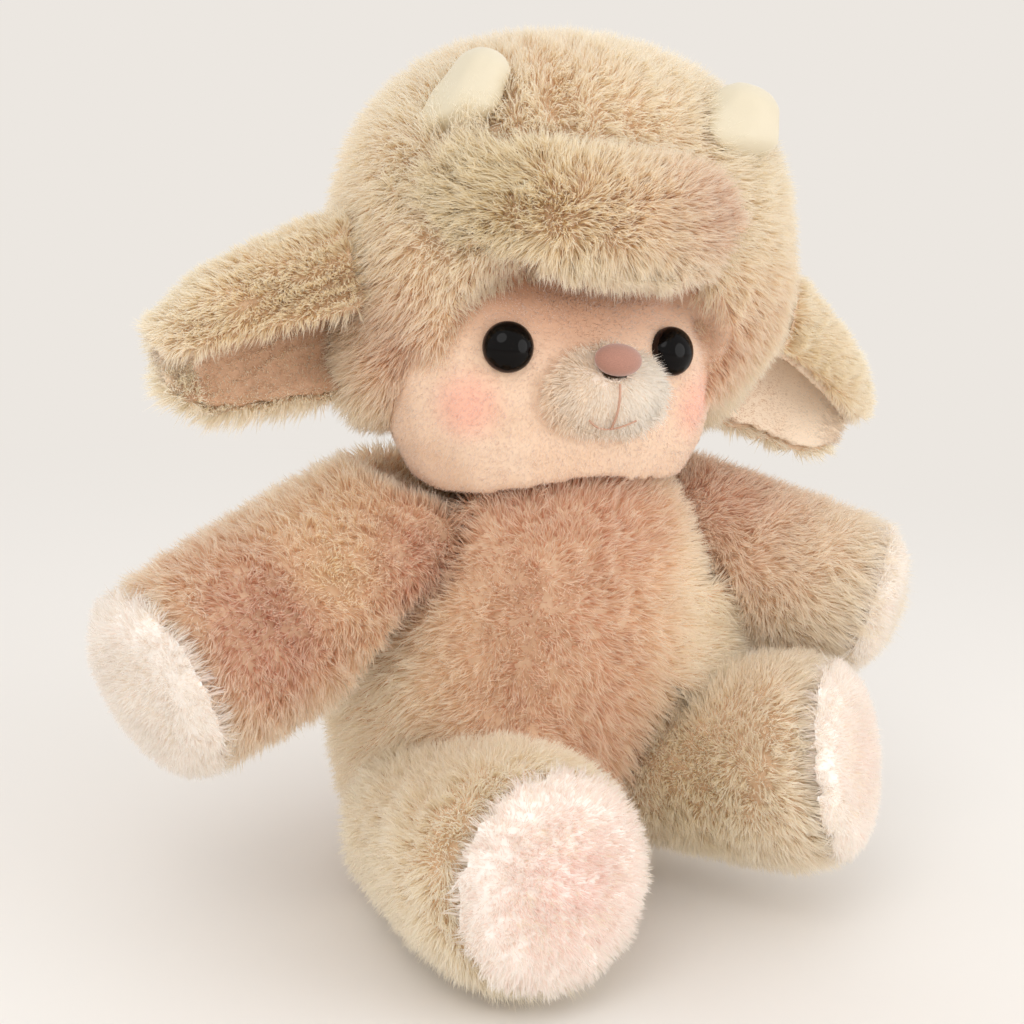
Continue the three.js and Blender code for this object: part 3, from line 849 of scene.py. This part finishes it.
class PLUSH_OT_forms(Maker, bpy.types.Operator):
    """Swells the long-pile forms: body, limbs, hood, brow roll and the backs of the ears"""

    bl_idname = "plush.forms"
    bl_label = "Long-pile forms"

    def execute(self, context):
        stuffed("body", "torso", self.padding.weave, 6)
        for limb in LIMBS:
            stuffed(limb, limb, self.padding.weave, 5)
        self.close_seams()
        stuffed("hood", "head", self.padding.weave, 5, filling="head_filling")
        self.hug_hood(stuffed("brow", "head", 3.5 * MM, 5, fill=0.8))
        for ear in EARS:
            obj = remeshed(solid_copy(f"{ear}_form", f"{ear}_back"), self.padding.fine, 4, 1.2 * MM)
            open_up(obj)
            round_tip(obj)
            padded(obj, ear, "long_pile", backing(), 0.4, f"{ear}_back")
        return {"FINISHED"}

    def close_seams(self):
        """Draws the seats in the body's skin up to the limbs' roots, so that no groove stays open."""
        body = form("body_form")
        points, normals = points_of(body), normals_of(body)
        for limb in LIMBS:
            other = form(f"{limb}_form")
            gap = -depth_in(points, tree_of(other)) / MM
            near = (gap > 3) & (gap < 20)
            way = inwards_of(points[near], other)
            facing = clamped((np.sum(normals[near] * way, axis=1) - 0.05) / 0.4)
            drawn = (gap[near] - 3) * clamped((20 - gap[near]) / 6) * facing
            points[near] += way * (drawn * MM)[:, None]
        set_points(body, points)

    def hug_hood(self, brow):
        """Makes the roll's ends blunter and lays the right one back round the hood."""
        points = points_of(brow) / MM
        middle, half = (points.min(0) + points.max(0)) / 2, (points.max(0) - points.min(0)) / 2
        across = (points[:, 0] - middle[0]) / half[0]
        swell = np.sqrt(1 + clamped(across * across))
        points[:, 2] = middle[2] + (points[:, 2] - middle[2]) * swell
        end = clamped((-18 - points[:, 0]) / 45)
        points[:, 1] += 11 * end * end
        points[:, 0] -= 3 * end
        points[:, 2] += 4 * end * clamped((points[:, 2] - middle[2]) / half[2])
        set_points(brow, points * MM)


class PLUSH_OT_pale_forms(Maker, bpy.types.Operator):
    """Makes the face, the muzzle, the pads and the ears' linings"""

    bl_idname = "plush.pale_forms"
    bl_label = "Face, muzzle, pads and linings"

    def execute(self, context):
        fine = self.padding.fine
        face = remeshed(solid_copy("face_form", "face_cover", "head_filling"), fine, 6, -0.6 * MM)
        for way, place in (((0, 1, 0), (0, -12 * MM, 0)), ((0, 0, 1), (0, 0, 230 * MM))):
            open_edit(face)
            bpy.ops.mesh.bisect(plane_co=place, plane_no=way, use_fill=True, clear_outer=True)
            close_edit()
        padded(face, "head", "short_pile", face_cloth(), 0.85, "face_cover")
        muzzle = solid_copy("muzzle_form", "muzzle_cover", "muzzle_filling")
        remeshed(muzzle, 1.8 * MM, 8, 2.6 * MM)
        cloth = material("Muzzle cloth", 0.85, blend(tuple(self.tones.face), tuple(self.tones.fluff), 0.6))
        padded(muzzle, "head", "white_pile", cloth, 0.8, "muzzle_cover", "muzzle_filling")
        for limb, pad in PADS.items():
            obj = remeshed(solid_copy(f"{pad}_form", pad), 1.5 * MM, 5, 0.3 * MM)
            padded(obj, limb, "white_pile", fluff_backing(), 0.8, pad)
        for ear in EARS:
            # Painted light and shade: the left lining takes the pale tone and the right one stays darker,
            # lit and shaded copies of one cloth
            pale = 0.15 if ear == "right_ear" else 1
            shade = blend(tuple(self.tones.lining), tuple(self.tones.lining_pale), pale)
            cloth = material(f"Lining cloth of {ear}", 0.85, sheen=0.2)
            plain = new_node(cloth, "RGB")
            plain.outputs[0].default_value = (*shade, 1)
            obj = remeshed(solid_copy(f"{ear}_lining_form", f"{ear}_lining"), 1.2 * MM, 4)
            open_up(obj)
            round_tip(obj)
            points = points_of(obj) / MM
            reach = np.abs(points[:, 0])
            end = points[reach > reach.max() - 3].mean(0)
            paint(cloth, toned_near(cloth, plain.outputs[0], tuple(self.tones.cream), end, 20, 10, 1))
            padded(obj, ear, "lining_pile", cloth, 0.3, f"{ear}_lining")
        return {"FINISHED"}


class PLUSH_OT_body_pile(Maker, bpy.types.Operator):
    """Grows the long pile of the body, away from the whorl on its belly"""

    bl_idname = "plush.body_pile"
    bl_label = "Body pile"

    def execute(self, context):
        coat = Coat(form("body_form"), self.pile.long, 3.2)
        coat.bare_inside(13 * MM, *(hull_named(f"{limb}_form") for limb in LIMBS))
        coat.bare_inside(9 * MM, tree_named("hood_form"), tree_named("face_form"))
        coat.combed_from(BELLY_WHORL, self.pile.lean, 40)
        coat.combed_to((0, 0, -1), 0.15)
        # Paler towards the sides: painted light where light shines through the pile at its edges. Paler at
        # the back and rosier in the middle as well
        across = np.abs(coat.x + 8) / 48
        coat.pale += 0.85 * clamped(across) ** 3 + 0.3 * (coat.y > 0)
        coat.hue -= 0.3 * clamped(1.3 - across)
        coat.tint_places()
        for limb in LIMBS:
            lean_over(coat, f"{limb}_form", 7, 0.4)
        grown_halves("body_pile", coat, "torso", 11, coat.y > 0, 36000)
        return {"FINISHED"}


class PLUSH_OT_limb_pile(Maker, bpy.types.Operator):
    """Grows the long pile of the arms and legs, laid towards their pads"""

    bl_idname = "plush.limb_pile"
    bl_label = "Limb pile"

    def execute(self, context):
        for number, limb in enumerate(LIMBS):
            coat = Coat(form(f"{limb}_form"), self.pile.long, 3.4)
            pad = f"{PADS[limb]}_form"
            coat.bare_inside(24 * MM, hull_named("body_form"))
            coat.bare_inside(1 * MM, tree_named(pad))
            way = unit(middle_of(pad) - middle_of(f"{limb}_form"))
            coat.combed_to(way, 0.45)
            along = (coat.points - middle_of(pad)) @ way / MM
            rim = clamped(1 + (along + 12) / 14)
            coat.lay(way, 0.5 * rim)
            coat.length *= 1 + 0.15 * rim
            lean_over(coat, "body_form", 6, 0.3)
            if "arm" in limb:
                # Paler at the top and bottom: painted light at the arm's edges, where light shines through
                # the pile. Paler near the pad too
                height = coat.z - coat.z.mean()
                coat.pale += 0.4 * clamped(np.abs(height) / 26) ** 2 + 0.45 * rim
                coat.hue -= 0.15
            else:
                coat.pale += 1
                coat.hue -= 0.12 if limb == "left_leg" else 0.02
            if limb == "left_arm":
                coat.length *= 1 + 0.35 * rim
                coat.pale += 0.35
                coat.hue -= 0.1
            coat.tint_places()
            grown(f"{limb}_pile", coat, limb, "long_pile", long_pile(), 21 + number, most=43500)
        return {"FINISHED"}


def rim_of_hood(coat):
    """Thins and lays back the hair that would hang from the hood's rim over the face."""
    away = coat.points - np.array(FACE_MIDDLE) * MM
    away[:, 1] = 0
    away = unit(away / np.array((59, 1, 47)))
    facing = clamped(-np.sum(away * coat.normals, axis=1)) * (coat.y < 0)
    facing *= clamped((208 - coat.z) / 12)
    coat.closeness *= 1 - 0.6 * facing
    coat.length *= 1 - 0.45 * facing
    coat.lay(away, 1.2 * facing)


def hug_horns(coat):
    """Stands the hair up round the horns' bases, against the cloth."""
    for side, longer in (("right", 0.6), ("left", 0.35)):
        low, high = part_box(f"{side}_horn_cover")
        foot = np.array(((low.x + high.x) / 2, (low.y + high.y) / 2, low.z + 4 * MM))
        close = coat.near(foot / MM, (24, 24, 24))
        inwards = foot - coat.points
        inwards[:, 2] = 0
        coat.comb *= (1 - close)[:, None]
        coat.lay(unit(inwards), 0.25 * close)
        coat.length *= 1 + longer * close


class PLUSH_OT_head_pile(Maker, bpy.types.Operator):
    """Grows the long pile of the hood and of the brow roll"""

    bl_idname = "plush.head_pile"
    bl_label = "Head pile"

    def execute(self, context):
        coat = Coat(form("hood_form"), self.pile.long, 3.2)
        coat.bare_inside(2.5 * MM, tree_named("face_form"))
        coat.bare_inside(5 * MM, tree_named("brow_form"))
        coat.bare_inside(8 * MM, hull_named("body_form"))
        coat.combed_from(CROWN, 0.35, 60)
        coat.combed_to((0, 0.4, -1), 0.15)
        coat.pale += 0.72
        coat.tint_places()
        for side, root in EAR_ROOTS:
            close = coat.near(root, (20, 20, 28))
            coat.lay((side, 0, -0.2), 0.7 * close)
            coat.length *= 1 + 0.25 * close
        rim_of_hood(coat)
        hug_horns(coat)
        grown_halves("hood_pile", coat, "head", 31, coat.points[:, 1] > -8 * MM, 38000)
        brow = Coat(form("brow_form"), self.pile.long, 4.2)
        brow.bare_inside(4 * MM, tree_named("hood_form"))
        brow.combed_from(BROW_WHORL, 0.4, 30)
        middle = brow.near((-4, -70, 236), (44, 60, 17))
        brow.pale += 0.62 - 0.6 * middle
        brow.tint_places()
        low = brow.near((0, -60, 204), (90, 60, 12))
        brow.length *= 1 + 0.35 * low
        brow.lay((0, 0, -0.5), low)
        hug_horns(brow)
        grown("brow_pile", brow, "head", "long_pile", long_pile(), 33)
        return {"FINISHED"}


class PLUSH_OT_ear_pile(Maker, bpy.types.Operator):
    """Grows the long pile on the backs of the ears and the short pile of their linings"""

    bl_idname = "plush.ear_pile"
    bl_label = "Ear pile"

    def execute(self, context):
        lining = lining_pile()
        for number, ear in enumerate(EARS):
            side = -1 if ear == "right_ear" else 1
            back, inner = form(f"{ear}_form"), form(f"{ear}_lining_form")
            coat = Coat(back, self.pile.ear, 4.4)
            facing = np.sum(coat.normals * inwards_of(coat.points, inner), axis=1)
            reach = np.abs(coat.x)
            height = coat.z
            root_height, tip_height = height[reach < EAR_ROOT].mean(), height[reach > EAR_TIP].mean()
            line = root_height + (reach - EAR_SLOPE) * (tip_height - root_height) / 36
            rim = clamped((line - 6 - height) / 8) * (1 if side < 0 else 0.2)
            coat.bare((facing > 0.6) & (reach < reach.max() - 8) & (rim < 0.5))
            coat.bare_inside(4 * MM, tree_named("hood_form"))
            coat.combed_to((side, 0, -0.35), 0.45)
            edge = clamped(np.abs(height - line) / 22)
            coat.pale += clamped((reach - 112) / 20) * 0.6 + 0.55 * edge + 0.1
            below = clamped(-coat.normals[:, 2]) * (height > line - 2)
            coat.length *= (1 - 0.35 * clamped(facing) * (reach < 120)) * (1 - 0.55 * below)
            coat.lay((side, 0, 0.5), 0.8 * below)
            coat.length *= 1 + 0.5 * rim
            coat.pale += 0.7 * rim
            coat.lay((0, -0.8, 0.3), 0.7 * rim)
            coat.hue += 0.25 * clamped((128 - reach) / 20) * (1 - edge)
            grown(f"{ear}_pile", coat, ear, "long_pile", long_pile(), 41 + number, most=36000)
            coat = Coat(inner, 1.5 * MM, 6)
            facing = np.sum(coat.normals * inwards_of(coat.points, back), axis=1)
            coat.bare(facing > 0.3)
            coat.bare_inside(3 * MM, tree_named("hood_form"))
            coat.combed_to((side, 0, -0.5), 0.8)
            reach = np.abs(coat.x)
            tip = clamped((reach - 120) / 8)
            coat.length += 2 * MM * tip
            # The left lining's pile takes the paler hues: painted light, like its cloth
            coat.hue = clamped((reach - 95) / 50 + 0.25 * (side + 1) + 0.6 * tip)
            coat.pale = 0.9 * tip
            fine = {"most": 16000, "width": 0.26 * MM, "even": True}
            grown(f"{ear}_lining_pile", coat, ear, "lining_pile", lining, 43 + number, **fine)
        return {"FINISHED"}


class PLUSH_OT_pale_pile(Maker, bpy.types.Operator):
    """Grows the short pile of the face and the white fluff of the muzzle and the pads"""

    bl_idname = "plush.pale_pile"
    bl_label = "Face, muzzle and pad pile"

    def execute(self, context):
        coat = Coat(form("face_form"), self.pile.short, 8)
        wide = (coat.x - FACE_MIDDLE[0]) / 64
        high = (coat.z - FACE_MIDDLE[2]) / 52
        coat.bare((coat.points[:, 1] > -14 * MM) | (wide * wide + high * high > 1))
        others = ("hood_form", "muzzle_form", "brow_form")
        coat.bare_inside(1.5 * MM, *(tree_named(name) for name in others))
        coat.combed_from(FACE_WHORL, 0.7, 15)
        coat.combed_to((0, 0, -1), 0.4)
        # Browner towards the top: painted shade under the brow roll
        coat.hue -= 0.45 * clamped((coat.z - 188) / 18)
        for side in (-1, 1):
            coat.hue += 0.42 * coat.near((-3 + side * 40, -50, 172), (13, 30, 12))
            # Browner at the face's sides: painted shade beside the hood's flaps
            coat.hue -= 0.3 * coat.near((-3 + side * 60, -30, 185), (9, 40, 30))
        fine = {"most": 41000, "width": 0.23 * MM, "sunk": 0.3 * MM, "even": True}
        grown("face_pile", coat, "head", "short_pile", face_pile(), 51, **fine)
        coat = Coat(form("muzzle_form"), self.pile.fluff, 6.5)
        coat.bare_inside(0.5 * MM, tree_named("face_form"))
        coat.combed_from(MUZZLE_WHORL, 0.7, 10)
        coat.combed_to((0, 0, -1), 0.25)
        across = coat.x
        rim = clamped((coat.y + 63) / 9)
        coat.length *= 0.6 + 0.5 * clamped(np.abs(across) / 18) + 0.7 * rim
        outwards = coat.points - np.array(MUZZLE_MIDDLE) * MM
        outwards[:, 1] = 0
        coat.lay(unit(outwards), 1.1 * rim)
        coat.hue = np.clip(0.8 + 0.014 * across - 0.3 * rim, 0.02, 0.98)
        coat.pale = 0.5 * rim
        grown("muzzle_pile", coat, "head", "white_pile", muzzle_pile(), 52, most=18000)
        for number, (limb, pad) in enumerate(PADS.items()):
            coat = Coat(form(f"{pad}_form"), self.pile.fluff, 4.5)
            coat.bare_inside(0.2 * MM, tree_named(f"{limb}_form"))
            middle = coat.points.mean(0) / MM
            out = unit(middle_of(f"{pad}_form") - middle_of(f"{limb}_form"))
            edge = clamped(0.75 - coat.normals @ out)
            coat.combed_from(middle, 0.5, 25)
            coat.lay(-out, 0.5 * edge)
            coat.length *= 1 + 0.45 * edge
            if "foot" in pad:
                coat.tint(middle, (24, 24, 24), hue=-0.45 if limb == "right_leg" else -0.2)
            grown(f"{pad}_pile", coat, limb, "white_pile", fluff_pile(), 53 + number, most=16000)
        return {"FINISHED"}


def axis_of(node):
    """The front and back ends of a button's axis: the two corners that most of its faces share."""
    trace = solid_copy(node + "_trace", node)
    shared = np.bincount([i for p in trace.data.polygons for i in p.vertices])
    ends = sorted((Vector(trace.data.vertices[int(i)].co) for i in shared.argsort()[-2:]), key=lambda p: p.y)
    bpy.data.objects.remove(trace)
    return ends


def button(name, node, wide, high, rise):
    """A domed button on a node's axis, its radii and its rise as given, its back half inside the pile."""
    front, back = axis_of(node)
    out = (front - back).normalized()
    base = front - out * rise
    bpy.ops.object.select_all(action="DESELECT")
    bpy.ops.mesh.primitive_uv_sphere_add(segments=64, ring_count=40, radius=1)
    obj = bpy.context.object
    obj.name = obj.data.name = name
    turn = out.to_track_quat("Z", "Y").to_matrix().to_4x4()
    place = Matrix.Translation(base) @ turn @ Matrix.Diagonal((wide, high, rise, 1))
    obj.data.transform(place)
    return obj, base, out


class PLUSH_OT_eyes(Maker, bpy.types.Operator):
    """Makes the glossy black safety eyes with their brown rims, and paints their washers"""

    bl_idname = "plush.eyes"
    bl_label = "Safety eyes"

    def execute(self, context):
        black = material("Eye black", 0.06, tuple(self.tones.eye))
        rim = material("Eye rim", 0.12, tuple(self.tones.rim))
        for made in (black, rim):
            shader_of(made).inputs["Specular IOR Level"].default_value = 0.12
        washer = material("Washer", 0.5, tuple(self.tones.washer))
        radius, rise = 8.1 * MM, 6 * MM
        for side in ("right", "left"):
            obj, base, out = button(f"{side}_eye_dome", f"{side}_eye", radius, radius, rise)
            obj.data.materials.append(black)
            obj.data.materials.append(rim)
            for face in obj.data.polygons:
                up = (face.center - base).dot(out) / rise
                face.material_index = 1 if up < 0.3 else 0
            finished(obj, "head", "black_gloss")
            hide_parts(f"{side}_eye")
        for name in ("right_eye_washer", "left_eye_washer", "nose_washer"):
            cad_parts[name].data.materials.clear()
            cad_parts[name].data.materials.append(washer)
        return {"FINISHED"}


class PLUSH_OT_nose(Maker, bpy.types.Operator):
    """Makes the flocked nose and the stitched mouth below it"""

    bl_idname = "plush.nose"
    bl_label = "Nose and mouth"

    def execute(self, context):
        flock = material("Nose flock", 0.95, sheen=0.5)
        base = tuple(self.tones.nose)
        grain = noise(flock, 2600, 3)
        paint(flock, ramp(flock, grain, [(0.3, blend(base, BLACK, 0.2)), (0.7, base)]))
        raise_grain(flock, grain, 0.5, 0.2 * MM)
        obj, _, _ = button("nose_dome", "nose", 8 * MM, 5.4 * MM, 4.5 * MM)
        finished(obj, "head", "nose_flock", flock)
        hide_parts("nose")

        thread = material("Mouth thread", 0.75, tuple(self.tones.thread))
        low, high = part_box("mouth_thread")
        skin = tree_of(form("muzzle_form"))
        middle, half = (low.x + high.x) / 2 + 0.3 * MM, (high.x - low.x) / 2
        down = [(middle, high.z - (high.z - low.z) * 0.92 * t) for t in (0, 0.25, 0.5, 0.75, 1)]
        smile = [
            (middle + half * t - 1.4 * MM * (1 - t * t), low.z + 0.8 * MM + 3 * MM * t * t)
            for t in (-1, -0.6, -0.2, 0.2, 0.6, 1)
        ]
        stitches = []
        for number, route in enumerate((down, smile)):
            bpy.ops.object.select_all(action="DESELECT")
            bpy.ops.curve.primitive_nurbs_path_add()
            curve = bpy.context.object
            line = curve.data.splines[0]
            line.points.add(len(route) - len(line.points))
            for point, (x, z) in zip(line.points, route):
                hit = skin.ray_cast(Vector((x, -0.2, z)), Vector((0, 1, 0)))[0]
                point.co = (x, (hit.y if hit else -0.06) - 2.1 * MM, z, 1)
            line.use_endpoint_u = True
            line.order_u = 3
            curve.data.bevel_depth = (0.4 - 0.1 * number) * MM
            curve.data.bevel_resolution = 3
            curve.data.use_fill_caps = True
            bpy.ops.object.convert(target="MESH")
            stitches.append(bpy.context.object)
        only(*stitches)
        bpy.ops.object.join()
        obj = bpy.context.object
        obj.name = obj.data.name = "mouth_stitches"
        obj.data.transform(obj.matrix_world)
        obj.matrix_world = Matrix.Identity(4)
        finished(obj, "head", "thread", thread)
        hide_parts("mouth_thread")
        return {"FINISHED"}


class PLUSH_OT_horns(Maker, bpy.types.Operator):
    """Makes the two cloth horns"""

    bl_idname = "plush.horns"
    bl_label = "Horns"

    def execute(self, context):
        cloth = material("Horn cloth", 0.8, sheen=0.3)
        base = tuple(self.tones.horn)
        stops = [(0.3, blend(base, tuple(self.tones.middle), 0.12)), (0.65, base)]
        paint(cloth, ramp(cloth, noise(cloth, 60, 4), stops))
        raise_grain(cloth, noise(cloth, 1500, 2), 0.25, 0.15 * MM)
        for side in ("right", "left"):
            nodes = (f"{side}_horn_cover", f"{side}_horn_filling")
            obj = remeshed(solid_copy(f"{side}_horn_form", *nodes), 1.3 * MM, 12)
            ways, points = normals_of(obj), points_of(obj)
            soft = waver(points, 16 * MM, 61)[:, :1]
            points += ways * soft * 0.35 * MM
            foot = (1 - clamped((points[:, 2] / MM - HORN_FOOT) / 24)) ** 1.5
            if side == "left":
                still = 65.2 * MM
                points[:, 0] = still - (still - points[:, 0]) * 1.38
                points[:, 1] -= 3 * MM
                points[:, 2] -= 2.5 * MM * (1 - foot)
            points[:, 1] += 17 * MM * foot
            points[:, 2] += 11 * MM * foot
            set_points(obj, points)
            padded(obj, "head", "horn_cloth", cloth, 0.8, *nodes)
        return {"FINISHED"}


class PLUSH_OT_stage(Maker, bpy.types.Operator):
    """Sets the camera, the lamps, the sky and the floor"""

    bl_idname = "plush.stage"
    bl_label = "Stage"

    def execute(self, context):
        stage = context.scene.plush_stage
        target = Vector(stage.target)
        flat, rise = math.cos(stage.elevation), math.sin(stage.elevation)
        back = Vector((math.sin(stage.azimuth) * flat, -math.cos(stage.azimuth) * flat, rise))
        bpy.ops.object.select_all(action="DESELECT")
        bpy.ops.object.camera_add(location=target + back * stage.distance)
        camera = context.object
        camera.rotation_mode = "QUATERNION"
        roll = Quaternion((0, 0, 1), stage.roll)
        camera.rotation_quaternion = (-back).to_track_quat("-Z", "Y") @ roll
        camera.data.sensor_width = 36
        camera.data.lens = stage.lens
        camera.data.clip_start = 0.02
        context.scene.camera = camera

        for name, place, wide, power in (
            ("Key lamp", (-0.7, -0.75, 1.0), 0.8, stage.key),
            ("Fill lamp", (0.75, -0.95, 0.4), 0.9, stage.fill),
        ):
            bpy.ops.object.light_add(type="AREA", location=place)
            lamp = context.object
            lamp.name = name
            lamp.data.energy = power
            lamp.data.shape = "DISK"
            lamp.data.size = wide
            lamp.rotation_euler = (Vector((0, 0, 0.14)) - Vector(place)).to_track_quat("-Z", "Y").to_euler()

        world = bpy.data.worlds.new("Sky")
        world.use_nodes = True
        context.scene.world = world
        light = world.node_tree.nodes["Background"]
        light.inputs["Color"].default_value = (*WHITE, 1)
        light.inputs["Strength"].default_value = stage.sky
        seen = new_node(world, "Background", Color=(*stage.floor, 1))
        mix = new_node(world, "MixShader")
        link(world, new_node(world, "LightPath").outputs["Is Camera Ray"], mix.inputs["Fac"])
        mix_surface(world, mix, light, seen, "World Output")

        bpy.ops.mesh.primitive_circle_add(vertices=96, radius=6, fill_type="NGON")
        floor = context.object
        floor.name = floor.data.name = "floor"
        made = material("Floor", 0.9, tuple(stage.floor))
        far = new_node(made, "Emission", Color=(*stage.floor, 1))
        length = new_node(made, "VectorMath")
        length.operation = "LENGTH"
        link(made, new_node(made, "TexCoord").outputs["Object"], length.inputs[0])
        fade = new_node(made, "MapRange", **{"From Min": 0.3, "From Max": 1.1})
        link(made, length.outputs["Value"], fade.inputs["Value"])
        both = new_node(made, "Math")
        both.operation = "MULTIPLY"
        link(made, new_node(made, "LightPath").outputs["Is Camera Ray"], both.inputs[0])
        link(made, fade.outputs["Result"], both.inputs[1])
        mix = new_node(made, "MixShader")
        link(made, both.outputs["Value"], mix.inputs["Fac"])
        mix_surface(made, mix, shader_of(made), far)
        floor.data.materials.append(made)
        context.scene.view_settings.view_transform = "Standard"
        return {"FINISHED"}


STEPS = (
    PLUSH_OT_forms,
    PLUSH_OT_pale_forms,
    PLUSH_OT_body_pile,
    PLUSH_OT_limb_pile,
    PLUSH_OT_head_pile,
    PLUSH_OT_ear_pile,
    PLUSH_OT_pale_pile,
    PLUSH_OT_eyes,
    PLUSH_OT_nose,
    PLUSH_OT_horns,
    PLUSH_OT_stage,
)
GROUPS = {
    "plush_padding": PLUSH_PG_padding,
    "plush_pile": PLUSH_PG_pile,
    "plush_tones": PLUSH_PG_tones,
    "plush_stage": PLUSH_PG_stage,
}


class PLUSH_PT_panel(bpy.types.Panel):
    """Lists the steps in the sidebar"""

    bl_label = "Plush calf"
    bl_idname = "PLUSH_PT_panel"
    bl_space_type = "VIEW_3D"
    bl_region_type = "UI"
    bl_category = "Plush calf"

    def draw(self, context):
        for step in STEPS:
            self.layout.operator(step.bl_idname)


def register():
    for group in GROUPS.values():
        bpy.utils.register_class(group)
    for step in STEPS:
        bpy.utils.register_class(step)
    bpy.utils.register_class(PLUSH_PT_panel)
    for name, group in GROUPS.items():
        setattr(bpy.types.Scene, name, PointerProperty(type=group))


def unregister():
    for name in GROUPS:
        delattr(bpy.types.Scene, name)
    for listed in (PLUSH_PT_panel, *reversed(STEPS), *GROUPS.values()):
        bpy.utils.unregister_class(listed)


def main():
    register()
    for step in STEPS:
        group, name = step.bl_idname.split(".")
        getattr(getattr(bpy.ops, group), name)()


if __name__ == "__main__":
    main()
